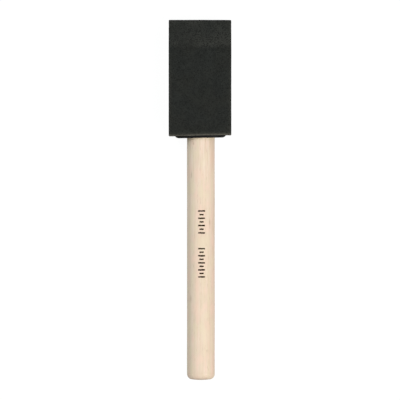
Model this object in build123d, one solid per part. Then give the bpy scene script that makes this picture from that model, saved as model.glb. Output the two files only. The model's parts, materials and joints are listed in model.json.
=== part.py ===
from build123d import *
import math
import os

# A one-inch foam brush. All lengths are in millimetres.
# The brush lies flat: X runs across the foam, Y from the handle's butt to the foam's tip, and Z up
# through the foam's thickness. The origin is under the middle of the brush, in the plane of the
# foam's back face.

# Driving dimensions
overall_length = 148.0
foam_length = 47.4
foam_width = 25.4
foam_thickness = 16.0
handle_diameter = 11.4

# Foam head: a block with both broad faces bevelled towards a straight tip
bevel_length = 12.7
tip_thickness = 0.8

# Stiffener insert: flange under the foam, socket for the handle, blade up the middle of the foam
flange_width = 21.3
flange_depth = 14.2
flange_show = 1.0
flange_sunk = 1.0
flange_end_round = 1.9
flange_end_trim = 0.4
flange_edge_round = 0.4
socket_wall = 1.0
socket_clearance = 0.2
socket_depth = 14.0
socket_cap = 1.2
socket_cap_chamfer = 0.8
crush_rib_count = 6
crush_rib_width = 0.6
blade_width = 18.0
blade_thickness = 1.2
blade_height = 32.0
blade_corner_round = 4.0
blade_edge_chamfer = 0.35
spine_width = 1.2
spine_height = 1.6
spine_length = 9.0
glue_hole_diameter = 3.0
glue_hole_spacing = 6.0
glue_hole_height = 25.5

# Handle: a dowel with a turned tenon in the socket and a crowned, rounded butt
tenon_diameter = 10.7
tenon_length = 13.4
tenon_chamfer = 0.6
butt_crown = 0.65
butt_round = 2.2

# Adhesive
foam_glue_film = 0.35
foam_glue_width = 16.0
foam_glue_low = 17.0
foam_glue_high = 30.5
handle_glue_diameter = 8.0

# Gaps left between pieces that press on each other
foam_gap = 0.05
fit_gap = 0.02

# Worked out from the dimensions above
axis_z = foam_thickness / 2
butt_y = -overall_length / 2
tip_y = overall_length / 2
foam_base_y = tip_y - foam_length
flange_bottom_y = foam_base_y - flange_show
flange_top_y = foam_base_y + flange_sunk
shoulder_y = flange_bottom_y - fit_gap
tenon_end_y = shoulder_y + tenon_length
socket_radius = tenon_diameter / 2 + socket_clearance
socket_outer_radius = socket_radius + socket_wall
socket_floor_y = flange_bottom_y + socket_depth
socket_end_y = socket_floor_y + socket_cap
blade_top_y = foam_base_y + blade_height
glue_hole_y = foam_base_y + glue_hole_height
blade_slit = blade_thickness + 2 * (foam_glue_film + foam_gap)


def rod(radius, low, high):
    """A cylinder on the handle's axis, from y = low to y = high."""
    return Pos(0, (low + high) / 2, axis_z) * Rot(X=-90) * Cylinder(radius, high - low)


def slab(width, low, high, thickness):
    """A box centred on the handle's axis, from y = low to y = high."""
    return Pos(0, (low + high) / 2, axis_z) * Box(width, high - low, thickness)


def stadium(grow, low, high):
    """The flange's plan before its ends are trimmed, larger by grow all round, from y = low to y = high."""
    outline = SlotOverall(flange_width + 2 * (flange_end_trim + grow), flange_depth + 2 * grow)
    return Pos(0, low, axis_z) * Rot(X=-90) * extrude(outline, high - low)


def spines(grow):
    """The two tapered ribs that run from the socket's end up the faces of the blade."""
    low = socket_floor_y
    high = socket_end_y + spine_length + grow
    reach = blade_thickness / 2 + spine_height + grow
    side = Polyline((0, low, 0), (0, low, reach), (0, socket_end_y, reach), (0, high, 0), close=True)
    rib = extrude(make_face(side), spine_width / 2 + grow, both=True)
    return Pos(Z=axis_z) * (rib + mirror(rib, Plane.XY))


def glue_holes(radius, thickness):
    """The row of round holes, or the plugs of adhesive in them, through the blade."""
    hole = Cylinder(radius, thickness)
    return [Pos(i * glue_hole_spacing, glue_hole_y, axis_z) * hole for i in (-1, 0, 1)]


def flange():
    """A stadium plate with trimmed ends that curve up to the foam, and eased long lower edges."""
    face = Pos(0, (flange_bottom_y + flange_top_y) / 2) * Rectangle(flange_width, flange_show + flange_sunk)
    face = fillet(face.vertices().group_by(Axis.Y)[0], flange_end_round)
    front = Pos(Z=axis_z) * extrude(face, flange_depth / 2, both=True)
    plate = stadium(0, flange_bottom_y, flange_top_y) & front
    long_edges = plate.edges().filter_by(Axis.X).group_by(Axis.Y)[0]
    return fillet(long_edges, flange_edge_round)


def blade():
    """The flat stiffener, with rounded upper corners and a thinned upper edge."""
    plate = slab(blade_width, flange_bottom_y + flange_show, blade_top_y, blade_thickness)
    corners = plate.edges().filter_by(Axis.Z).group_by(Axis.Y)[-1]
    plate = fillet(corners, blade_corner_round)
    rim = plate.edges().filter_by(GeomType.LINE).filter_by(Axis.X).group_by(Axis.Y)[-1]
    plate = chamfer(rim, blade_edge_chamfer)
    return plate - glue_holes(glue_hole_diameter / 2, 2 * blade_thickness)


def crush_ribs():
    """Narrow ribs down the socket's wall that grip the tenon."""
    grip_radius = tenon_diameter / 2 + fit_gap
    inner = grip_radius - socket_clearance
    outer = socket_radius + socket_wall / 2
    low = flange_bottom_y + tenon_chamfer
    bar = Pos((inner + outer) / 2, (low + socket_floor_y) / 2)
    bar = bar * Box(outer - inner, socket_floor_y - low, crush_rib_width)
    turns = [i * 360 / crush_rib_count for i in range(crush_rib_count)]
    ribs = [Pos(Z=axis_z) * Rot(Y=turn) * bar for turn in turns]
    return [rib - rod(grip_radius, butt_y, tip_y) for rib in ribs]


def stiffener_insert():
    """The one-piece moulding: flange, socket with crush ribs, spines and blade."""
    socket = rod(socket_outer_radius, flange_bottom_y + flange_show, socket_end_y)
    socket = chamfer(socket.edges().group_by(Axis.Y)[-1], socket_cap_chamfer)
    shell = flange() + socket + blade() + spines(0)
    shell = shell - rod(socket_radius, flange_bottom_y - flange_show, socket_floor_y)
    return shell + crush_ribs()


def foam_head():
    """The bevelled foam block, with the slit and bore that it is pushed on by."""
    flat_y = tip_y - bevel_length
    low_tip = axis_z - tip_thickness / 2
    high_tip = axis_z + tip_thickness / 2
    side = Polyline(
        (0, foam_base_y, 0),
        (0, flat_y, 0),
        (0, tip_y, low_tip),
        (0, tip_y, high_tip),
        (0, flat_y, foam_thickness),
        (0, foam_base_y, foam_thickness),
        close=True,
    )
    block = extrude(make_face(side), foam_width / 2, both=True)
    recess = stadium(foam_gap, foam_base_y - flange_show, flange_top_y + foam_gap)
    recess = recess & slab(flange_width + 2 * foam_gap, butt_y, tip_y, foam_thickness)
    bore = rod(socket_outer_radius + foam_gap, foam_base_y, socket_end_y + foam_gap)
    slit = slab(blade_width + 2 * foam_gap, foam_base_y, blade_top_y + foam_gap, blade_slit)
    return block - recess - bore - slit - spines(foam_gap)


def handle():
    """The dowel: butt, grip, shoulder against the flange, and tenon."""
    radius = handle_diameter / 2
    tenon_radius = tenon_diameter / 2
    dome = (radius**2 + butt_crown**2) / (2 * butt_crown)
    half_way = butt_y + dome - math.sqrt(dome**2 - (radius / 2) ** 2)
    corner = (radius, butt_y + butt_crown)
    outline = Polyline(
        (0, butt_y),
        (0, tenon_end_y),
        (tenon_radius - tenon_chamfer, tenon_end_y),
        (tenon_radius, tenon_end_y - tenon_chamfer),
        (tenon_radius, shoulder_y),
        (radius, shoulder_y),
        corner,
    )
    crown = ThreePointArc(corner, (radius / 2, half_way), (0, butt_y))
    face = make_face(outline.edges() + crown.edges())
    face = fillet(face.vertices().sort_by_distance(corner)[0], butt_round)
    return Pos(Z=axis_z) * revolve(face, Axis.Y)


def foam_glue():
    """Adhesive on both faces of the blade, joined through the glue holes."""
    low = foam_base_y + foam_glue_low
    high = foam_base_y + foam_glue_high
    outer = slab(foam_glue_width, low, high, blade_thickness + 2 * foam_glue_film)
    film = outer - slab(blade_width, butt_y, tip_y, blade_thickness + 2 * fit_gap)
    plugs = glue_holes(glue_hole_diameter / 2 - fit_gap, blade_thickness + foam_glue_film)
    return film - spines(fit_gap) + plugs


def handle_glue():
    """The dab of adhesive between the tenon's end and the socket's floor."""
    return rod(handle_glue_diameter / 2, tenon_end_y + fit_gap, socket_floor_y - fit_gap)


pieces = {
    "foam_head": foam_head,
    "stiffener_insert": stiffener_insert,
    "handle": handle,
    "foam_glue": foam_glue,
    "handle_glue": handle_glue,
}

os.makedirs("parts", exist_ok=True)
for name, make in pieces.items():
    export_step(make(), os.path.join("parts", name + ".step"))
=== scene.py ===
import json
import math
from collections import namedtuple

import bmesh
import bpy
import numpy as np
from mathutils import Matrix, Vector, kdtree


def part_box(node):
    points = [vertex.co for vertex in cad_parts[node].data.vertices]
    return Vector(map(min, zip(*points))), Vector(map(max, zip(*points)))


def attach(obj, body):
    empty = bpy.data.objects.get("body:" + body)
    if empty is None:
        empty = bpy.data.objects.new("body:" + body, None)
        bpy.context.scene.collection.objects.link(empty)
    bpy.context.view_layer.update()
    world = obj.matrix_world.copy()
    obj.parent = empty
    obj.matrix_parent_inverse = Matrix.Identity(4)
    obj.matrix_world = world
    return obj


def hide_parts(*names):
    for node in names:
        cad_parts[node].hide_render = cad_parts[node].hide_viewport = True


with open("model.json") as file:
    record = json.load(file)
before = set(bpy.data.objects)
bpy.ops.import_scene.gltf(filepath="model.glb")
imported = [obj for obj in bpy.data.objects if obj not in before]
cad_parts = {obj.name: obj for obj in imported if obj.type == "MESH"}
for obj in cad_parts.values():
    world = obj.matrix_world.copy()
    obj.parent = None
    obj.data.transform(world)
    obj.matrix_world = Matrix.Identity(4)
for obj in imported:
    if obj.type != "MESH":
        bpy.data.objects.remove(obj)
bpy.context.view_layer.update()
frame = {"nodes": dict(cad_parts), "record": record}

# A one-inch foam brush that lies flat on a light table, seen from straight above. X runs across the
# foam, Y from the handle's butt to the foam's tip, and Z up. All lengths are in metres.
NODES = frame["nodes"]
RECORD = frame["record"]
MM = 0.001
TINY = 1e-9

# ---- Places and sizes, in metres, read from the frame ----
FOAM_LOW, FOAM_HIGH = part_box("foam_head")
HANDLE_LOW, HANDLE_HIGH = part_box("handle")
GRIP = next(mount for mount in RECORD["mounts"] if mount["name"] == "grip")

AXIS_Z = (HANDLE_LOW.z + HANDLE_HIGH.z) / 2
BUTT_Y = HANDLE_LOW.y
GRIP_RADIUS = GRIP["dims"]["r_mm"] * MM
SHOULDER_Y = GRIP["pos_m"][1] + GRIP["dims"]["length_mm"] * MM / 2
TENON_END_Y = HANDLE_HIGH.y
FOAM_BASE_Y = FOAM_LOW.y
FOAM_TIP_Y = FOAM_HIGH.y
FOAM_HALF_WIDTH = (FOAM_HIGH.x - FOAM_LOW.x) / 2
FOAM_HALF_DEPTH = (FOAM_HIGH.z - FOAM_LOW.z) / 2

# ---- Shapes that the frame's boxes don't give, as in the CAD model ----
TENON_RADIUS = 5.35 * MM
TENON_CHAMFER = 0.6 * MM
BUTT_CROWN = 0.65 * MM
BUTT_ROUND = 2.2 * MM
BEVEL_LENGTH = 12.7 * MM
TIP_HALF_DEPTH = 0.4 * MM
FLAT_END_Y = FOAM_TIP_Y - BEVEL_LENGTH

# ---- Foam: its mesh and its shape ----
FOAM_VOXEL = 0.27 * MM
SEAM_REACH = 0.001 * MM
SNAP_REACH = 0.55 * FOAM_VOXEL
WELD_REACH = 0.25 * FOAM_VOXEL
FOAM_EDGE_ROUND = 0.22 * MM
FOAM_BASE_ROUND = 0.1 * MM
FOAM_TIP_ROUND = 0.2 * MM
FOAM_SHIFT = -0.37 * MM
FOAM_BASE_SKEW = 0.2 * MM
FOAM_SKEW_REACH = 14 * MM
SOCKET_BULGE = 0.28 * MM
SOCKET_BULGE_HALF_WIDTH = 5.5 * MM
SOCKET_BULGE_REACH = 17 * MM
WAVE_CELL = 7 * MM
WAVE_HEIGHT = 0.09 * MM
SIDE_WAVE_SHARE = 0.2
GRAIN_CELL = 0.75 * MM
GRAIN_HEIGHT = 0.045 * MM
FOAM_SWELL = 0.155 * MM
TIP_PUSH_SHARE = 0.4
PORE_COUNT = 5200
PORE_RADIUS = (0.22 * MM, 0.5 * MM)
PORE_DEPTH = (0.06 * MM, 0.24 * MM)
PORE_EDGE_MARGIN = 0.9 * MM
PORE_EDGE_SHARE = 0.12

# ---- Foam: painted highlight along the base rim (rim) and the edges next to it (edge); on the bevel (cut), a painted highlight together with the paler tone of its cut cells ----
RIM_FADE = 0.42 * MM
RIM_FADE_LEAN = 0.15
RIM_LEFT = 0.72
RIM_GAIN = 0.43
RIM_GAIN_SPAN = 1.3
BASE_FACE_RIM = 0.14
BASE_FACE_FADE = 1.1 * MM
EDGE_FADE = 0.55 * MM
EDGE_RIM = 0.17
EDGE_RIM_REACH = 9 * MM
RAGGED_CELL = 1.1 * MM
RAGGED_SHARE = 0.35
CUT_FADE = 3.2 * MM
CUT_LEVEL = 0.34
CUT_GAIN = 0.26
CUT_GAIN_START = -0.9
CUT_GAIN_SPAN = 1.5
CUT_MOTTLE = 0.22
CUT_MOTTLE_CELL = 3.5 * MM
CUT_SKIN_VOXELS = 1.5

# ---- Insert, which sits a little off its CAD place ----
INSERT_SHIFT = -0.17 * MM
INSERT_WIDTH_SHARE = 1.014
INSERT_SKEW_SHARE = 1.15
INSERT_DROP = 0.05 * MM

# ---- Handle ----
HANDLE_SEGMENTS = 160
GRIP_ROW = 0.8 * MM
CURVE_ROWS = 12
HANDLE_BEND_CELL = (9 * MM, 9 * MM, 16 * MM)
HANDLE_BEND_HEIGHT = 0.04 * MM
GROOVE_CELL = (0.45 * MM, 0.45 * MM, 14 * MM)
GROOVE_HEIGHT = 0.012 * MM
SHOULDER_FADE = 2 * MM
SHOULDER_REACH = 4 * MM
BUTT_UNEVEN = 0.06 * MM
BUTT_UNEVEN_CELL = 3.2 * MM
BUTT_UNEVEN_REACH = 3 * MM
HANDLE_SHARP_ANGLE = math.radians(40)

# Small brown flecks in the wood's upper side: x, y, half width and half length in metres, and strength.
FLECKS = (
    (-3.0 * MM, 23.4 * MM, 0.30 * MM, 0.34 * MM, 0.80),
    (-4.2 * MM, -40.7 * MM, 0.45 * MM, 1.25 * MM, 0.22),
    (2.5 * MM, -62.0 * MM, 0.30 * MM, 0.30 * MM, 0.22),
    (3.6 * MM, -9.2 * MM, 0.16 * MM, 1.1 * MM, 0.60),
    (-3.9 * MM, 10.3 * MM, 0.14 * MM, 1.1 * MM, 0.45),
)

# ---- Printed tick marks on the handle ----
TICK_HALF_LENGTH = 1.43 * MM
SHORT_TICK_SHARE = 0.62
TICK_HALF_WIDTH = 0.32 * MM
TICK_RAISED = 0.018 * MM
TICK_SUNK = 0.03 * MM
TICK_CENTRE_X = 0.28 * MM
TICK_GROUPS = ((-4.5 * MM, -13.5 * MM, 7), (-20.0 * MM, -31.6 * MM, 9))
TICK_CELLS = (22, 8)
TICK_SIDE_RAGGED = 0.22
TICK_SIDE_STEPS = (4, 2)
TICK_SIDE_START = 20
TICK_END_RAGGED = 0.04
TICK_END_STEPS = 3
TICK_END_START = 30
TICK_PINCH = 0.12
TICK_PINCH_POWER = 6
TICK_SEEDS_PER_GROUP = 20
TICK_SHARP_ANGLE = math.radians(50)

# ---- Camera, light and floor ----
CAMERA_HEIGHT = 4.0
CAMERA_X = -0.37 * MM
CLIP_NEAR = 0.05
CLIP_FAR = 20.0
SENSOR = 36.0
VIEW_HEIGHT = 164.5 * MM
SKY_ABOVE = 0.375
SKY_BELOW = 0.625
SKY_HORIZON = 0.15
LAMP_DISTANCE = 1.1
LAMP_SIZE = 0.6
KEY_DIRECTION = Vector((0.50, -0.30, 0.81))
KEY_STRENGTH = 0.79
KEY_COLOUR = (1.0, 0.99, 0.975)
FILL_DIRECTION = Vector((-0.55, 0.30, 0.70))
FILL_STRENGTH = 0.36
FILL_COLOUR = (0.90, 1.0, 0.985)
FLOOR_HALF = 8.0
FLOOR_FLAT_SHARE = 0.7
FLOOR_RISE = 4.0
FLOOR_ALBEDO = 0.07
FLOOR_GLOW = 0.96
FLOOR_SIDE = 41
FLOOR_DROP = 0.02 * MM

# ---- Seeds of the random fields, and the generator that scatters the foam's pores ----
WAVE_SEED = 3
GRAIN_SEED = 4
RAGGED_SEED = 5
CUT_SEED = 6
BEND_SEED = 11
GROOVE_SEED = 12
BUTT_SEED = 13
TICK_SEED = 100
RNG = np.random.default_rng(20)


# ---------------------------------------------------------------- helpers
def fade(values):
    """Smooth step of values clipped to 0..1."""
    t = np.clip(values, 0.0, 1.0)
    return t * t * (3 - 2 * t)


def lattice_noise(points, cell, seed, size=64):
    """Seeded smooth noise from -1 to 1 at points (n, d), with one random value per cell."""
    points = np.asarray(points, float) / np.asarray(cell, float)
    dims = points.shape[1]
    lattice = np.random.default_rng(seed).uniform(-1, 1, (size,) * dims)
    corner = np.floor(points).astype(int)
    weight = fade(points - corner)
    total = np.zeros(len(points))
    for bits in np.ndindex((2,) * dims):
        share = np.ones(len(points))
        for axis, bit in enumerate(bits):
            share *= weight[:, axis] if bit else 1 - weight[:, axis]
        index = tuple((corner[:, axis] + bit) % size for axis, bit in enumerate(bits))
        total += share * lattice[index]
    return total


def vertices_of(mesh):
    """The mesh's vertices as an array (n, 3)."""
    flat = np.empty(len(mesh.vertices) * 3, np.float32)
    mesh.vertices.foreach_get("co", flat)
    return flat.reshape(-1, 3).astype(float)


def set_vertices(mesh, points):
    """Moves the mesh's vertices to points."""
    mesh.vertices.foreach_set("co", points.astype(np.float32).ravel())
    mesh.update()


def set_attribute(mesh, name, values):
    """Keeps one number per vertex for a material to read."""
    attribute = mesh.attributes.new(name, "FLOAT", "POINT")
    attribute.data.foreach_set("value", values.astype(np.float32))


def weld(mesh, reach):
    """Joins vertices that are closer than reach."""
    work = bmesh.new()
    work.from_mesh(mesh)
    bmesh.ops.remove_doubles(work, verts=work.verts, dist=reach)
    work.to_mesh(mesh)
    work.free()


def make_outward(mesh):
    """Turns every face's normal outwards."""
    work = bmesh.new()
    work.from_mesh(mesh)
    bmesh.ops.recalc_face_normals(work, faces=work.faces)
    work.to_mesh(mesh)
    work.free()


def smooth_shaded(mesh):
    mesh.polygons.foreach_set("use_smooth", [True] * len(mesh.polygons))
    mesh.update()


def new_object(name, data):
    """An object of a mesh, lamp or camera, linked into the scene."""
    item = bpy.data.objects.new(name, data)
    bpy.context.scene.collection.objects.link(item)
    return item


def grid_faces(rows, columns, wrap):
    """Quads of a grid of vertices, row by row; wrap joins the last column to the first."""
    faces = []
    for row in range(rows - 1):
        for column in range(columns if wrap else columns - 1):
            after = (column + 1) % columns
            low, high = row * columns, (row + 1) * columns
            faces.append((low + column, low + after, high + after, high + column))
    return faces


# ---------------------------------------------------------------- material graph
class Graph:
    """A new material with a Principled shader, and short ways to add and wire its nodes."""

    def __init__(self, name):
        self.material = bpy.data.materials.new(name)
        self.material.use_nodes = True
        self.tree = self.material.node_tree
        self.tree.nodes.clear()
        self.shader = self.add("ShaderNodeBsdfPrincipled")
        output = self.add("ShaderNodeOutputMaterial")
        self.wire(self.shader.outputs["BSDF"], output.inputs["Surface"])
        self.place = self.add("ShaderNodeTexCoord").outputs["Object"]

    def add(self, kind, **properties):
        node = self.tree.nodes.new(kind)
        for key, value in properties.items():
            setattr(node, key, value)
        return node

    def wire(self, source, target):
        """Wires a socket, or sets a plain value, into target."""
        if isinstance(source, bpy.types.NodeSocket):
            self.tree.links.new(source, target)
        else:
            target.default_value = source

    def math(self, operation, first, second=0.0, third=0.0):
        node = self.add("ShaderNodeMath", operation=operation)
        for value, target in zip((first, second, third), node.inputs):
            self.wire(value, target)
        return node.outputs[0]

    def times(self, first, second):
        return self.math("MULTIPLY", first, second)

    def mapped(self, vector, scale):
        node = self.add("ShaderNodeMapping")
        self.wire(vector, node.inputs["Vector"])
        node.inputs["Scale"].default_value = scale
        return node.outputs[0]

    def stretched(self, across, along):
        """Places divided by a cell size across the handle and one along it."""
        return self.mapped(self.place, (1 / across, 1 / along, 1 / across))

    def noise(self, vector, scale=1.0, detail=2.0, roughness=0.5):
        """Soft noise around 0.5, with scale cells in a unit of vector."""
        node = self.add("ShaderNodeTexNoise")
        self.wire(vector, node.inputs["Vector"])
        node.inputs["Scale"].default_value = scale
        node.inputs["Detail"].default_value = detail
        node.inputs["Roughness"].default_value = roughness
        return node.outputs["Fac"]

    def cells(self, vector, scale=1.0):
        """Distance to the nearest of the scattered points, one to a cell."""
        node = self.add("ShaderNodeTexVoronoi")
        self.wire(vector, node.inputs["Vector"])
        node.inputs["Scale"].default_value = scale
        return node.outputs["Distance"]

    def wobbled(self, cell, reach):
        """Places shifted a little to and fro, so that round cells look torn."""
        noise = self.add("ShaderNodeTexNoise")
        self.wire(self.place, noise.inputs["Vector"])
        noise.inputs["Scale"].default_value = 1 / cell
        shift = self.add("ShaderNodeVectorMath", operation="SCALE")
        self.wire(noise.outputs["Color"], shift.inputs[0])
        shift.inputs["Scale"].default_value = reach
        place = self.add("ShaderNodeVectorMath", operation="ADD")
        self.wire(self.place, place.inputs[0])
        self.wire(shift.outputs[0], place.inputs[1])
        return place.outputs[0]

    def spread(self, value, low, high, to_low=0.0, to_high=1.0):
        """Maps low..high to to_low..to_high, smoothly, and holds the ends."""
        node = self.add("ShaderNodeMapRange", interpolation_type="SMOOTHSTEP")
        for source, name in (
            (value, "Value"),
            (low, "From Min"),
            (high, "From Max"),
            (to_low, "To Min"),
            (to_high, "To Max"),
        ):
            self.wire(source, node.inputs[name])
        return node.outputs["Result"]

    def blend(self, factor, first, second, kind="MIX"):
        """Mixes two colours, each a socket or (r, g, b)."""
        node = self.add("ShaderNodeMix", data_type="RGBA", blend_type=kind)
        colours = [s for s in node.inputs if s.type == "RGBA"]
        self.wire(factor, node.inputs[0])
        for value, target in zip((first, second), colours):
            whole = value if isinstance(value, bpy.types.NodeSocket) else (*value, 1.0)
            self.wire(whole, target)
        return next(s for s in node.outputs if s.type == "RGBA")

    def attribute(self, name):
        """The number that set_attribute kept on the mesh."""
        return self.add("ShaderNodeAttribute", attribute_name=name).outputs["Fac"]

    def separate(self):
        """The x, y and z of each place."""
        node = self.add("ShaderNodeSeparateXYZ")
        self.wire(self.place, node.inputs[0])
        return node.outputs

    def grey(self, value):
        """A colour with value in all three channels."""
        node = self.add("ShaderNodeCombineXYZ")
        for target in node.inputs:
            self.wire(value, target)
        return node.outputs[0]

    def bump(self, height, distance, strength):
        node = self.add("ShaderNodeBump")
        self.wire(height, node.inputs["Height"])
        node.inputs["Distance"].default_value = distance
        node.inputs["Strength"].default_value = strength
        return node.outputs[0]

    def finish(self, colour, roughness, normal, **uniform):
        """Wires the shader; uniform values are set on its own sockets."""
        self.wire(colour, self.shader.inputs["Base Color"])
        self.wire(roughness, self.shader.inputs["Roughness"])
        self.wire(normal, self.shader.inputs["Normal"])
        for name, value in uniform.items():
            self.shader.inputs[name.replace("_", " ")].default_value = value
        return self.material


# ---------------------------------------------------------------- materials
def foam_material():
    """Charcoal open-cell foam: round cells in three sizes, mottled, with a painted highlight along the
    base rim and side edges, and on the bevel a painted highlight together with the paler tone of its cut
    cells.
    """
    g = Graph("charcoal_foam")
    dark = (0.0146, 0.0156, 0.0141)
    light = (0.0190, 0.0203, 0.0182)
    cool = (0.985, 1.0, 1.015)
    warm = (1.015, 1.0, 0.98)
    # The next colour is the bevel's painted highlight together with the paler tone of its cut cells.
    bevel_tone_and_highlight = (0.0340, 0.0345, 0.0300)
    # The next colour is a warm painted highlight for the base rim and the side edges.
    painted_rim_highlight = (0.096, 0.088, 0.072)

    place = g.wobbled(0.5 * MM, 0.18 * MM)
    hollow = g.spread(g.cells(place, 1 / (0.5 * MM)), 0.15, 0.5)
    hole = g.spread(g.cells(place, 1 / (0.95 * MM)), 0.08, 0.3)
    crater = g.spread(g.cells(place, 1 / (2.3 * MM)), 0.05, 0.16)
    mottle = g.noise(place, 1 / (2.2 * MM), 4.0, 0.6)
    patch = g.noise(place, 1 / (9 * MM))
    cut_tone_and_highlight = g.attribute("cut_tone_and_highlight")

    colour = g.blend(g.spread(mottle, 0.3, 0.7), dark, light)
    colour = g.blend(1.0, colour, g.blend(g.spread(patch, 0.35, 0.65), cool, warm), "MULTIPLY")
    # Painted highlight on the bevel, together with the paler tone of its cut cells.
    colour = g.blend(cut_tone_and_highlight, colour, bevel_tone_and_highlight)
    # Painted highlight along the base rim and the side edges, where the rounded edges catch the light.
    colour = g.blend(g.attribute("rim"), colour, painted_rim_highlight)
    shade = g.math("MULTIPLY_ADD", hollow, 0.62, 0.5)
    shade = g.times(shade, g.math("MULTIPLY_ADD", hole, 0.4, 0.62))
    shade = g.times(shade, g.math("MULTIPLY_ADD", crater, 0.3, 0.7))
    shade = g.math("POWER", shade, g.math("MULTIPLY_ADD", cut_tone_and_highlight, 2.0, 1.0))
    colour = g.blend(1.0, colour, g.grey(shade), "MULTIPLY")

    height = g.math("MULTIPLY_ADD", hollow, 0.35, g.times(hole, 0.65))
    height = g.math("MULTIPLY_ADD", crater, 0.8, height)
    normal = g.bump(height, 0.16 * MM, 0.75)
    roughness = g.spread(mottle, 0.2, 0.8, 0.86, 1.0)
    sheen = {"Sheen_Weight": 0.03, "Sheen_Roughness": 0.6}
    return g.finish(colour, roughness, normal, Specular_IOR_Level=0.04, **sheen)


def growth_rings(g, x, z):
    """Growth rings about a heart outside the dowel: their late wood, and all of their lines."""
    heart_x = -14 * MM
    heart_z = -9 * MM
    ring_width = 2.1 * MM
    sway_reach = 5.5 * MM

    bend = g.noise(g.stretched(7 * MM, 55 * MM))
    sway = g.times(g.math("SUBTRACT", bend, 0.5), sway_reach)
    from_heart_x = g.math("ADD", g.math("SUBTRACT", x, heart_x), sway)
    from_heart_z = g.math("SUBTRACT", z, heart_z)
    squared = g.math("ADD", g.math("POWER", from_heart_x, 2.0), g.math("POWER", from_heart_z, 2.0))
    ring = g.math("FRACT", g.times(g.math("SQRT", squared), 1 / ring_width))
    late_wood = g.spread(ring, 0.55, 0.97)
    early_wood = g.spread(ring, 0.0, 0.12, 1.0, 0.0)
    return late_wood, g.math("MAXIMUM", late_wood, early_wood)


def birch_stripes(g, x, y, rings, fibre, strand):
    """Birch's colour along its length: rings, warm streaks, strands, fibres and clouds, and painted shade
    on the left side.
    """
    pale = (0.740, 0.598, 0.482)
    tan = (0.620, 0.475, 0.340)
    pink = (0.752, 0.560, 0.437)
    straw = (0.690, 0.565, 0.405)
    # The next colour is the painted shade of the dowel's left side.
    grey = (0.690, 0.603, 0.486)
    brown = (0.54, 0.42, 0.30)
    cream = (0.80, 0.66, 0.53)
    rosy = (0.775, 0.560, 0.450)
    olive = (0.705, 0.600, 0.430)

    streak = g.noise(g.stretched(1.7 * MM, 70 * MM))
    patch = g.noise(g.stretched(2.6 * MM, 7 * MM), detail=1.0)
    cloud = g.noise(g.place, 1 / (6 * MM), 3.0)
    busy = g.spread(y, -8 * MM, 14 * MM, 1.0, 0.5)
    colour = g.blend(g.times(rings, g.times(busy, 0.38)), pale, tan)
    colour = g.blend(g.spread(streak, 0.49, 0.63, 0.0, 0.75), colour, pink)
    colour = g.blend(g.spread(streak, 0.50, 0.36, 0.0, 0.65), colour, straw)
    colour = g.blend(g.times(busy, g.spread(strand, 0.42, 0.68, 0.0, 0.36)), colour, tan)
    colour = g.blend(g.times(busy, g.spread(fibre, 0.42, 0.75, 0.0, 0.34)), colour, brown)
    # Painted shade: a cooler, greyer tone over the dowel's left side, the side that faces away from the
    # key lamp.
    shaded_left_side = g.spread(x, -1.5 * MM, -5 * MM)
    colour = g.blend(g.times(shaded_left_side, g.spread(strand, 0.3, 0.6, 0.2, 0.55)), colour, grey)
    colour = g.blend(g.spread(cloud, 0.4, 0.75, 0.0, 0.2), colour, cream)
    colour = g.blend(g.spread(patch, 0.50, 0.66, 0.0, 0.5), colour, rosy)
    return g.blend(g.spread(patch, 0.50, 0.34, 0.0, 0.5), colour, olive)


def birch_near_head(g, x, y, colour):
    """Finer ribbons of grain and a reddish strip along the right, both only near the head."""
    dark = (0.58, 0.44, 0.32)
    pale = (0.82, 0.69, 0.58)
    red = (0.66, 0.47, 0.33)

    near_head = g.spread(y, 5 * MM, 15 * MM)
    ribbon = g.noise(g.stretched(0.4 * MM, 11 * MM), detail=1.0)
    colour = g.blend(g.times(near_head, g.spread(ribbon, 0.5, 0.66, 0.0, 0.34)), colour, dark)
    colour = g.blend(g.times(near_head, g.spread(ribbon, 0.5, 0.34, 0.0, 0.42)), colour, pale)
    strip = g.times(g.spread(x, 3.2 * MM, 4.2 * MM), g.spread(x, 5.5 * MM, 4.7 * MM, 0.0, 0.3))
    return g.blend(g.times(near_head, strip), colour, red)


def birch_ends(g, y, colour, late_wood):
    """Yellowing at the glued shoulder, a handled butt, and end grain on the butt's face."""
    yellowed = (0.60, 0.55, 0.30)
    worn = (0.62, 0.475, 0.345)
    end_tone = (0.60, 0.475, 0.36)
    end_ring_tone = (0.40, 0.285, 0.185)
    end_pore_tone = (0.29, 0.20, 0.13)

    glued = g.spread(y, SHOULDER_Y - 1.8 * MM, SHOULDER_Y - 0.3 * MM, 0.0, 0.24)
    colour = g.blend(glued, colour, yellowed)
    colour = g.blend(g.spread(y, BUTT_Y + 5 * MM, BUTT_Y + 2 * MM, 0.0, 0.16), colour, worn)
    end = g.spread(y, BUTT_Y + 1.0 * MM, BUTT_Y + 0.3 * MM)
    end_ring = g.times(end, g.times(late_wood, 0.55))
    end_pore = g.times(end, g.spread(g.cells(g.stretched(0.42 * MM, 60 * MM)), 0.30, 0.12))
    colour = g.blend(g.times(end, 0.2), colour, end_tone)
    colour = g.blend(end_ring, colour, end_ring_tone)
    return g.blend(g.times(end_pore, 0.55), colour, end_pore_tone)


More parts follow.
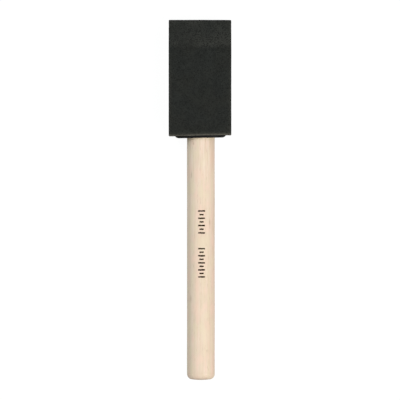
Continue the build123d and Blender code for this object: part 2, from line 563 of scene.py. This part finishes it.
def birch_material():
    """Sanded birch: growth rings, long fibres, pores, warm streaks, flecks and end grain."""
    g = Graph("birch_wood")
    pore_tone = (0.36, 0.245, 0.155)
    fleck_tone = (0.235, 0.135, 0.075)

    x, y, z = g.separate()
    late_wood, rings = growth_rings(g, x, z)
    fibre = g.noise(g.stretched(0.16 * MM, 6 * MM), detail=3.0, roughness=0.6)
    strand = g.noise(g.stretched(0.6 * MM, 30 * MM))
    pore = g.cells(g.stretched(0.32 * MM, 4.6 * MM))
    pits = g.times(g.spread(pore, 0.24, 0.08), g.spread(strand, 0.42, 0.62, 0.12, 0.62))
    colour = birch_stripes(g, x, y, rings, fibre, strand)
    colour = birch_near_head(g, x, y, colour)
    colour = g.blend(pits, colour, pore_tone)
    colour = g.blend(g.attribute("fleck"), colour, fleck_tone)
    colour = birch_ends(g, y, colour, late_wood)

    relief = g.math("MULTIPLY_ADD", fibre, 0.6, g.times(strand, 0.5))
    relief = g.math("SUBTRACT", relief, g.times(pits, 0.8))
    normal = g.bump(relief, 0.03 * MM, 0.6)
    roughness = g.spread(fibre, 0.3, 0.7, 0.52, 0.7)
    return g.finish(colour, roughness, normal, Specular_IOR_Level=0.35)


def plastic_material():
    """Black moulded plastic: faint flow marks, fine texture and a few scuffs."""
    g = Graph("black_moulded_plastic")
    black = (0.0045, 0.0046, 0.0048)
    soft_black = (0.0085, 0.0084, 0.0082)
    scuffed = (0.028, 0.028, 0.028)

    flow = g.noise(g.stretched(3 * MM, 0.9 * MM), detail=3.0)
    grain = g.noise(g.place, 1 / (0.12 * MM), 2.0, 0.6)
    worn = g.spread(g.cells(g.stretched(0.5 * MM, 2.4 * MM)), 0.16, 0.05)
    colour = g.blend(g.spread(flow, 0.3, 0.7), black, soft_black)
    colour = g.blend(g.times(worn, 0.35), colour, scuffed)
    height = g.math("MULTIPLY_ADD", grain, 0.5, g.times(flow, 0.6))
    normal = g.bump(g.math("SUBTRACT", height, g.times(worn, 0.4)), 0.02 * MM, 0.5)
    roughness = g.spread(flow, 0.25, 0.75, 0.38, 0.56)
    return g.finish(colour, roughness, normal, Specular_IOR_Level=0.11)


def adhesive_material():
    """Hot-melt glue: amber, cloudy, with small bubbles."""
    g = Graph("amber_adhesive")
    amber = (0.62, 0.47, 0.24)
    honey = (0.80, 0.70, 0.48)
    milky = (0.88, 0.82, 0.66)

    cloud = g.noise(g.place, 1 / (1.6 * MM), 3.0)
    bubble = g.spread(g.cells(g.place, 1 / (0.9 * MM)), 0.22, 0.12)
    colour = g.blend(g.spread(cloud, 0.3, 0.7), amber, honey)
    colour = g.blend(g.times(bubble, 0.5), colour, milky)
    normal = g.bump(g.math("SUBTRACT", cloud, bubble), 0.05 * MM, 0.6)
    roughness = g.spread(cloud, 0.3, 0.7, 0.24, 0.42)
    return g.finish(colour, roughness, normal, Specular_IOR_Level=0.5)


def ink_material():
    """Dark brown stamped ink, thin over the fibres, so that some wood shows through."""
    g = Graph("stamped_ink")
    dark_ink = (0.017, 0.009, 0.003)
    brown_ink = (0.046, 0.026, 0.010)
    wood_through = (0.30, 0.20, 0.12)

    fibre = g.noise(g.stretched(0.14 * MM, 1.6 * MM), detail=3.0, roughness=0.6)
    blot = g.noise(g.place, 1 / (0.5 * MM), 3.0, 0.6)
    colour = g.blend(g.spread(blot, 0.3, 0.7), dark_ink, brown_ink)
    colour = g.blend(g.spread(fibre, 0.6, 0.84, 0.0, 0.4), colour, wood_through)
    normal = g.bump(fibre, 0.015 * MM, 0.5)
    roughness = g.spread(blot, 0.3, 0.7, 0.55, 0.75)
    return g.finish(colour, roughness, normal, Specular_IOR_Level=0.1)


def floor_material():
    """A white light table: its own even glow is most of its brightness, so shadows on it are faint."""
    g = Graph("pale_floor")
    low = (0.98 * FLOOR_ALBEDO,) * 3
    high = (1.02 * FLOOR_ALBEDO,) * 3

    tooth = g.noise(g.place, 1 / (4 * MM), 3.0)
    colour = g.blend(g.spread(tooth, 0.3, 0.7), low, high)
    normal = g.bump(tooth, 0.05 * MM, 0.2)
    glow = {"Emission_Color": (1, 1, 1, 1), "Emission_Strength": FLOOR_GLOW}
    return g.finish(colour, 0.85, normal, Specular_IOR_Level=0.0, **glow)


# ---------------------------------------------------------------- askew seat of foam, insert and handle
def base_skew(points):
    """How far points rise along the handle where the foam was glued on a little askew."""
    depth = np.clip(points[:, 1] - FOAM_BASE_Y, 0, None)
    return FOAM_BASE_SKEW * fade(1 - depth / FOAM_SKEW_REACH) * points[:, 0] / FOAM_HALF_WIDTH


def insert_seat(points):
    """How far points of the insert move along the handle from their CAD place."""
    return INSERT_SKEW_SHARE * base_skew(points) - INSERT_DROP


# ---------------------------------------------------------------- foam
Face = namedtuple("Face", "depth outward radius")
Faces = namedtuple("Faces", "side broad base tip")


def foam_faces(points):
    """The outer faces nearest each point: its depth below them, their outward direction and round."""
    x, y, z = points.T
    blank = np.zeros(len(points))
    one = np.ones(len(points))
    right = np.where(x < 0, -1.0, 1.0)
    up = np.where(z < AXIS_Z, -1.0, 1.0)
    drop = (FOAM_HALF_DEPTH - TIP_HALF_DEPTH) / BEVEL_LENGTH
    half = FOAM_HALF_DEPTH - np.clip(y - FLAT_END_Y, 0, BEVEL_LENGTH) * drop
    tilt = np.where(y > FLAT_END_Y, math.atan(drop), 0.0)
    broad_depth = (half - np.abs(z - AXIS_Z)) * np.cos(tilt)
    broad_outward = np.stack([blank, np.sin(tilt), up * np.cos(tilt)], 1)
    side = Face(FOAM_HALF_WIDTH - np.abs(x), np.stack([right, blank, blank], 1), FOAM_EDGE_ROUND)
    broad = Face(broad_depth, broad_outward, FOAM_EDGE_ROUND)
    base = Face(y - FOAM_BASE_Y, np.stack([blank, -one, blank], 1), FOAM_BASE_ROUND)
    tip = Face(FOAM_TIP_Y - y, np.stack([blank, one, blank], 1), FOAM_TIP_ROUND)
    return Faces(side, broad, base, tip)


def snapped(points, faces):
    """Moves points that lie near an outer face onto it, so that the remeshed corners are sharp again."""
    shift = np.zeros_like(points)
    for face in faces:
        near = np.abs(face.depth) < SNAP_REACH
        shift += face.outward * (face.depth * near)[:, None]
    return points + shift


def outward_at(faces):
    """Directions that push points out of every outer face that they lie on, which keeps edges sharp."""
    return sum(face.outward * (face.depth < SNAP_REACH)[:, None] for face in faces)


def rounded(points, faces):
    """Draws the corners where outer faces meet in to a round."""
    reach = np.stack([np.clip(face.radius - face.depth, 0, None) / face.radius for face in faces], 1)
    total = np.linalg.norm(reach, axis=1)
    excess = np.clip(total - 1, 0, None)
    shift = np.zeros_like(points)
    for index, face in enumerate(faces):
        share = reach[:, index] / np.maximum(total, TINY)
        shift -= face.outward * (excess * share * face.radius)[:, None]
    return points + shift


def pores(points, outer):
    """How far each point sinks into the open pores scattered over the outer surface."""
    sites = points[RNG.choice(np.flatnonzero(outer), PORE_COUNT, replace=False)]
    radius = RNG.uniform(0, 1, PORE_COUNT) ** 2 * (PORE_RADIUS[1] - PORE_RADIUS[0]) + PORE_RADIUS[0]
    depth = RNG.uniform(*PORE_DEPTH, PORE_COUNT) * radius / PORE_RADIUS[1]
    tree = kdtree.KDTree(len(points))
    for index, point in enumerate(points):
        tree.insert(point, index)
    tree.balance()
    sunk = np.zeros(len(points))
    for site, size, deep in zip(sites, radius, depth):
        for _, index, distance in tree.find_range(site, size):
            sunk[index] = max(sunk[index], deep * (1 - (distance / size) ** 2))
    return sunk


def remeshed_foam():
    """The CAD foam solid, slit and bore included, as an even mesh of small quads."""
    mesh = NODES["foam_head"].data.copy()
    weld(mesh, SEAM_REACH)
    source = new_object("foam_source", mesh)
    remesh = source.modifiers.new("Remesh", "REMESH")
    remesh.mode = "VOXEL"
    remesh.voxel_size = FOAM_VOXEL
    remesh.adaptivity = 0
    evaluated = source.evaluated_get(bpy.context.evaluated_depsgraph_get())
    result = bpy.data.meshes.new_from_object(evaluated)
    bpy.data.objects.remove(source)
    bpy.data.meshes.remove(mesh)
    result.name = "foam"
    points = vertices_of(result)
    set_vertices(result, snapped(points, foam_faces(points)))
    weld(result, WELD_REACH)
    return result


def foam_shape(points, faces, outer):
    """The foam's points with soft corners, swell, waves, grain, pores, the bulge and the skew."""
    shaped = rounded(points, faces)
    next_face = np.sort([face.depth for face in faces], axis=0)[1]
    mid_face = PORE_EDGE_SHARE + (1 - PORE_EDGE_SHARE) * fade(next_face / PORE_EDGE_MARGIN)
    wave_share = np.where(faces.side.depth < SNAP_REACH, SIDE_WAVE_SHARE, 1.0)
    push = np.full(len(points), FOAM_SWELL)
    push += WAVE_HEIGHT * lattice_noise(points, WAVE_CELL, WAVE_SEED) * wave_share
    push += GRAIN_HEIGHT * lattice_noise(points, GRAIN_CELL, GRAIN_SEED) * (1 + mid_face) / 2
    push -= pores(shaped, outer) * mid_face
    push *= np.where(faces.tip.depth < SNAP_REACH, TIP_PUSH_SHARE, 1.0)
    shaped += outward_at(faces) * push[:, None]

    bulge_across = fade(1 - np.abs(points[:, 0]) / SOCKET_BULGE_HALF_WIDTH)
    bulge_along = fade(1 - np.clip(faces.base.depth, 0, None) / SOCKET_BULGE_REACH)
    on_top = outer & (points[:, 2] > AXIS_Z)
    shaped[:, 2] += SOCKET_BULGE * bulge_across * bulge_along * on_top
    shaped[:, 1] += base_skew(points)
    shaped[:, 0] += FOAM_SHIFT * outer
    shaped[:, 2] = np.maximum(shaped[:, 2], FOAM_LOW.z)
    return shaped


def foam_painted_rim_light(points, faces, outer):
    """How much painted highlight each point has, from 0 to 1: along the base rim, stronger towards the
    right, and along the side edges towards the handle, where the edges catch the light.
    """
    across = points[:, 0] / FOAM_HALF_WIDTH
    ragged = 1 + RAGGED_SHARE * lattice_noise(points, RAGGED_CELL, RAGGED_SEED)
    rim_fade = RIM_FADE * (1 - RIM_FADE_LEAN + RIM_FADE_LEAN * across)
    rim = np.exp(-np.clip(faces.base.depth, 0, None) / rim_fade) * outer * ragged
    rim *= RIM_LEFT + RIM_GAIN * fade((across + 1) / RIM_GAIN_SPAN)
    edge_share = np.exp(-np.clip(faces.broad.depth, 0, None) / BASE_FACE_FADE)
    rim *= BASE_FACE_RIM + (1 - BASE_FACE_RIM) * edge_share
    edge = np.exp(-np.clip(faces.side.depth, 0, None) / EDGE_FADE) * outer * ragged
    edge *= faces.side.depth >= SNAP_REACH
    rim += EDGE_RIM * edge * fade((FLAT_END_Y - points[:, 1]) / EDGE_RIM_REACH)
    return np.clip(rim, 0, 1)


def foam_cut_tone_and_highlight(points, faces, outer):
    """How much of the bevel's painted highlight, together with the paler tone of its cut cells, each
    point has, from 0 to 1.
    """
    across = points[:, 0] / FOAM_HALF_WIDTH
    on_bevel = fade((points[:, 1] - FLAT_END_Y) / CUT_FADE)
    near_flat = fade((FOAM_TIP_Y - points[:, 1]) / BEVEL_LENGTH)
    cut_tone_and_highlight = CUT_LEVEL + CUT_GAIN * near_flat * fade((across - CUT_GAIN_START) / CUT_GAIN_SPAN)
    cut_tone_and_highlight += CUT_MOTTLE * lattice_noise(points, CUT_MOTTLE_CELL, CUT_SEED)
    below_skin = np.clip(faces.broad.depth, 0, None) / FOAM_VOXEL
    cut_tone_and_highlight *= on_bevel * outer * fade(CUT_SKIN_VOXELS - below_skin)
    return np.clip(cut_tone_and_highlight, 0, 1)


def build_foam():
    """The foam head: the CAD block, remeshed, shaped as cut foam, with painted highlights along its base
    rim, side edges and bevel, and the bevel's cut cells paler.
    """
    mesh = remeshed_foam()
    points = vertices_of(mesh)
    faces = foam_faces(points)
    outer = np.min([face.depth for face in faces], axis=0) < SNAP_REACH
    set_vertices(mesh, foam_shape(points, faces, outer))
    # This attribute holds the painted highlight along the base rim and the side edges.
    set_attribute(mesh, "rim", foam_painted_rim_light(points, faces, outer))
    # This attribute holds the bevel's painted highlight together with the paler tone of its cut cells.
    set_attribute(mesh, "cut_tone_and_highlight", foam_cut_tone_and_highlight(points, faces, outer))
    smooth_shaded(mesh)
    mesh.materials.clear()
    mesh.materials.append(foam_material())
    foam = new_object("foam", mesh)
    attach(foam, "root")
    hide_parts("foam_head")


# ---------------------------------------------------------------- handle
def dowel_offset(angle, along):
    """How far the sanded dowel's surface stands off its true radius."""
    arc = np.stack([np.cos(angle), np.sin(angle)], 1) * GRIP_RADIUS
    places = np.concatenate([arc, along[:, None]], 1)
    bend = HANDLE_BEND_HEIGHT * lattice_noise(places, HANDLE_BEND_CELL, BEND_SEED)
    groove = GROOVE_HEIGHT * lattice_noise(places, GROOVE_CELL, GROOVE_SEED)
    return (bend + groove) * fade((SHOULDER_Y - along) / SHOULDER_FADE)


def handle_profile():
    """(radius, y) from the butt's centre to the tenon's end, with rows close together on curves."""
    dome = (GRIP_RADIUS**2 + BUTT_CROWN**2) / (2 * BUTT_CROWN)
    dome_y = BUTT_Y + dome
    inner = GRIP_RADIUS - BUTT_ROUND
    round_y = dome_y - math.sqrt((dome - BUTT_ROUND) ** 2 - inner**2)
    meet = math.atan2(inner, dome_y - round_y)
    steps = range(1, CURVE_ROWS + 1)
    rows = []
    for i in steps:
        turn = meet * i / CURVE_ROWS
        rows.append((dome * math.sin(turn), dome_y - dome * math.cos(turn)))
    for i in steps:
        turn = meet + (math.pi / 2 - meet) * i / CURVE_ROWS
        rows.append((inner + BUTT_ROUND * math.sin(turn), round_y - BUTT_ROUND * math.cos(turn)))
    count = round((SHOULDER_Y - round_y) / GRIP_ROW)
    for i in range(1, count + 1):
        rows.append((GRIP_RADIUS, round_y + (SHOULDER_Y - round_y) * i / count))
    rows.append((TENON_RADIUS, SHOULDER_Y))
    tenon_length = TENON_END_Y - TENON_CHAMFER - SHOULDER_Y
    for i in steps:
        rows.append((TENON_RADIUS, SHOULDER_Y + tenon_length * i / CURVE_ROWS))
    rows.append((TENON_RADIUS - TENON_CHAMFER, TENON_END_Y))
    return np.array(rows)


def on_handle(angle, radius, along):
    """Points in the frame; angle 0 faces up (+Z) and grows towards +X."""
    return np.stack([radius * np.sin(angle), along, AXIS_Z + radius * np.cos(angle)], 1)


def fleck_mask(points):
    """How much of a fleck's brown each point has, on the dowel's upper side only."""
    mask = np.zeros(len(points))
    for x, y, half_width, half_length, strength in FLECKS:
        spread = ((points[:, 0] - x) / half_width) ** 2 + ((points[:, 1] - y) / half_length) ** 2
        mask = np.maximum(mask, strength * np.exp(-spread))
    return mask * (points[:, 2] > AXIS_Z)


def build_handle():
    """The dowel: crowned, rounded butt, sanded grip with faint grooves, shoulder and tenon."""
    profile = handle_profile()
    turns = np.arange(HANDLE_SEGMENTS) * 2 * math.pi / HANDLE_SEGMENTS
    angle = np.tile(turns, len(profile))
    radius = np.repeat(profile[:, 0], HANDLE_SEGMENTS)
    along = np.repeat(profile[:, 1], HANDLE_SEGMENTS)
    share = radius / GRIP_RADIUS
    on_tenon = along > SHOULDER_Y - TINY
    radius = radius + dowel_offset(angle, along) * share * ~on_tenon
    points = on_handle(angle, radius, along)
    near_butt = fade(1 - (along - BUTT_Y) / BUTT_UNEVEN_REACH)
    uneven = lattice_noise(points, BUTT_UNEVEN_CELL, BUTT_SEED)
    points[:, 1] += BUTT_UNEVEN * near_butt * share * uneven
    near_shoulder = fade(1 - np.abs(along - SHOULDER_Y) / SHOULDER_REACH)
    points[:, 1] += insert_seat(points) * near_shoulder

    butt = len(points)
    tenon = butt + 1
    centres = np.array([[0, BUTT_Y, AXIS_Z], [0, TENON_END_Y, AXIS_Z]])
    points = np.concatenate([points, centres])
    faces = grid_faces(len(profile), HANDLE_SEGMENTS, True)
    last = (len(profile) - 1) * HANDLE_SEGMENTS
    for i in range(HANDLE_SEGMENTS):
        after = (i + 1) % HANDLE_SEGMENTS
        faces.append((butt, after, i))
        faces.append((tenon, last + i, last + after))
    mesh = bpy.data.meshes.new("wood_handle")
    mesh.from_pydata(points.tolist(), [], faces)
    make_outward(mesh)
    set_attribute(mesh, "fleck", fleck_mask(points))
    smooth_shaded(mesh)
    mesh.set_sharp_from_angle(angle=HANDLE_SHARP_ANGLE)
    mesh.materials.append(birch_material())
    handle = new_object("wood_handle", mesh)
    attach(handle, "root")
    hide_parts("handle")


# ---------------------------------------------------------------- printed ticks
def tick_slab(centre_y, half_length, seed):
    """Vertices and faces of a thin closed bar of ink that follows the dowel; it takes two seeds."""
    across, along = TICK_CELLS
    u, v = np.meshgrid(np.linspace(-1, 1, across), np.linspace(-1, 1, along), indexing="ij")
    u, v = u.ravel(), v.ravel()
    side_noise = lattice_noise(np.stack([u, v], 1) * TICK_SIDE_STEPS + TICK_SIDE_START, 1.0, seed)
    end_noise = lattice_noise(v[:, None] * TICK_END_STEPS + TICK_END_START, 1.0, seed + 1)
    ragged = 1 + TICK_SIDE_RAGGED * side_noise
    pinch = 1 - TICK_PINCH * np.abs(u) ** TICK_PINCH_POWER
    x = TICK_CENTRE_X + u * half_length * (1 + TICK_END_RAGGED * end_noise)
    y = centre_y + v * TICK_HALF_WIDTH * ragged * pinch
    angle = x / GRIP_RADIUS
    skin = GRIP_RADIUS + dowel_offset(angle, y)
    top = on_handle(angle, skin + TICK_RAISED, y)
    bottom = on_handle(angle, skin - TICK_SUNK, y)
    count = len(top)
    faces = grid_faces(across, along, False)
    faces += [tuple(count + i for i in reversed(face)) for face in faces]
    # The outline of the grid, all the way round, which the side walls hang from.
    rim = [i * along for i in range(across)]
    rim += [(across - 1) * along + j for j in range(1, along)]
    rim += [i * along + along - 1 for i in range(across - 2, -1, -1)]
    rim += list(range(along - 2, 0, -1))
    for here, after in zip(rim, rim[1:] + rim[:1]):
        faces.append((here, after, count + after, count + here))
    return np.concatenate([top, bottom]), faces


def build_ticks():
    """Two groups of plain tick marks, long and short by turns, stamped along the handle."""
    points, faces = [], []
    for group, (start, end, count) in enumerate(TICK_GROUPS):
        for i in range(count):
            half = TICK_HALF_LENGTH * (1 if i % 2 == 0 else SHORT_TICK_SHARE)
            centre = start + (end - start) * i / (count - 1)
            seed = TICK_SEED + TICK_SEEDS_PER_GROUP * group + 2 * i
            slab, slab_faces = tick_slab(centre, half, seed)
            offset = sum(len(block) for block in points)
            points.append(slab)
            faces += [tuple(offset + index for index in face) for face in slab_faces]
    mesh = bpy.data.meshes.new("ink_mark")
    mesh.from_pydata(np.concatenate(points).tolist(), [], faces)
    make_outward(mesh)
    smooth_shaded(mesh)
    mesh.set_sharp_from_angle(angle=TICK_SHARP_ANGLE)
    mesh.materials.append(ink_material())
    ticks = new_object("ink_mark", mesh)
    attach(ticks, "root")


# ---------------------------------------------------------------- insert
def build_insert():
    """The CAD moulding, a little wider and shifted, and askew with the foam's base."""
    mesh = NODES["stiffener_insert"].data.copy()
    mesh.name = "plastic_insert"
    points = vertices_of(mesh)
    points[:, 1] += insert_seat(points)
    points[:, 0] = points[:, 0] * INSERT_WIDTH_SHARE + INSERT_SHIFT
    set_vertices(mesh, points)
    mesh.materials.clear()
    mesh.materials.append(plastic_material())
    insert = new_object("plastic_insert", mesh)
    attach(insert, "root")
    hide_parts("stiffener_insert")


# ---------------------------------------------------------------- carried-over CAD nodes
def dress(node, material):
    """Gives an adhesive node, which shows as its CAD object, a procedural material."""
    mesh = NODES[node].data
    mesh.materials.clear()
    mesh.materials.append(material)


# ---------------------------------------------------------------- stage
def build_floor():
    """A wide pale floor that bends up at its far edges, lit evenly and adding no bounce to the brush."""
    steps = np.linspace(-1, 1, FLOOR_SIDE)
    u, v = np.meshgrid(steps, steps, indexing="ij")
    u, v = u.ravel(), v.ravel()
    edge = np.maximum(np.abs(u), np.abs(v))
    rise = fade((edge - FLOOR_FLAT_SHARE) / (1 - FLOOR_FLAT_SHARE)) * FLOOR_RISE
    points = np.stack([u * FLOOR_HALF, v * FLOOR_HALF, rise - FLOOR_DROP], 1)
    mesh = bpy.data.meshes.new("floor")
    mesh.from_pydata(points.tolist(), [], grid_faces(FLOOR_SIDE, FLOOR_SIDE, False))
    make_outward(mesh)
    smooth_shaded(mesh)
    mesh.materials.append(floor_material())
    floor = new_object("floor", mesh)
    floor.visible_diffuse = False
    floor.visible_glossy = False


def add_sky():
    """An even white surround, a little brighter below the horizon, as over a light table."""
    world = bpy.data.worlds.new("studio")
    world.use_nodes = True
    tree = world.node_tree
    background = tree.nodes["Background"]
    place = tree.nodes.new("ShaderNodeTexCoord")
    split = tree.nodes.new("ShaderNodeSeparateXYZ")
    strength = tree.nodes.new("ShaderNodeMapRange")
    tree.links.new(place.outputs["Generated"], split.inputs[0])
    tree.links.new(split.outputs["Z"], strength.inputs["Value"])
    tree.links.new(strength.outputs["Result"], background.inputs["Strength"])
    strength.inputs["From Min"].default_value = -SKY_HORIZON
    strength.inputs["From Max"].default_value = SKY_HORIZON
    strength.inputs["To Min"].default_value = SKY_BELOW
    strength.inputs["To Max"].default_value = SKY_ABOVE
    background.inputs["Color"].default_value = (1, 1, 1, 1)
    bpy.context.scene.world = world


def add_lamp(name, direction, strength, colour):
    """A round soft box; strength is the brightness it gives a white surface that faces it."""
    data = bpy.data.lights.new(name, "AREA")
    data.shape = "DISK"
    data.size = LAMP_SIZE
    data.color = colour
    data.energy = strength * math.pi**2 * LAMP_DISTANCE**2
    lamp = new_object(name, data)
    direction = direction.normalized()
    lamp.location = direction * LAMP_DISTANCE
    lamp.rotation_euler = direction.to_track_quat("Z", "Y").to_euler()


def add_camera():
    """A long lens straight above the brush, with the foam at the top of the picture."""
    data = bpy.data.cameras.new("camera")
    data.sensor_width = SENSOR
    data.lens = SENSOR * CAMERA_HEIGHT / VIEW_HEIGHT
    data.clip_start = CLIP_NEAR
    data.clip_end = CLIP_FAR
    camera = new_object("camera", data)
    camera.location = (CAMERA_X, 0.0, AXIS_Z + CAMERA_HEIGHT)
    camera.rotation_euler = (0, 0, 0)
    scene = bpy.context.scene
    scene.camera = camera
    scene.view_settings.view_transform = "Standard"


add_camera()
add_sky()
add_lamp("key", KEY_DIRECTION, KEY_STRENGTH, KEY_COLOUR)
add_lamp("fill", FILL_DIRECTION, FILL_STRENGTH, FILL_COLOUR)
build_floor()
build_foam()
build_handle()
build_ticks()
build_insert()
dress("foam_glue", adhesive_material())
dress("handle_glue", adhesive_material())
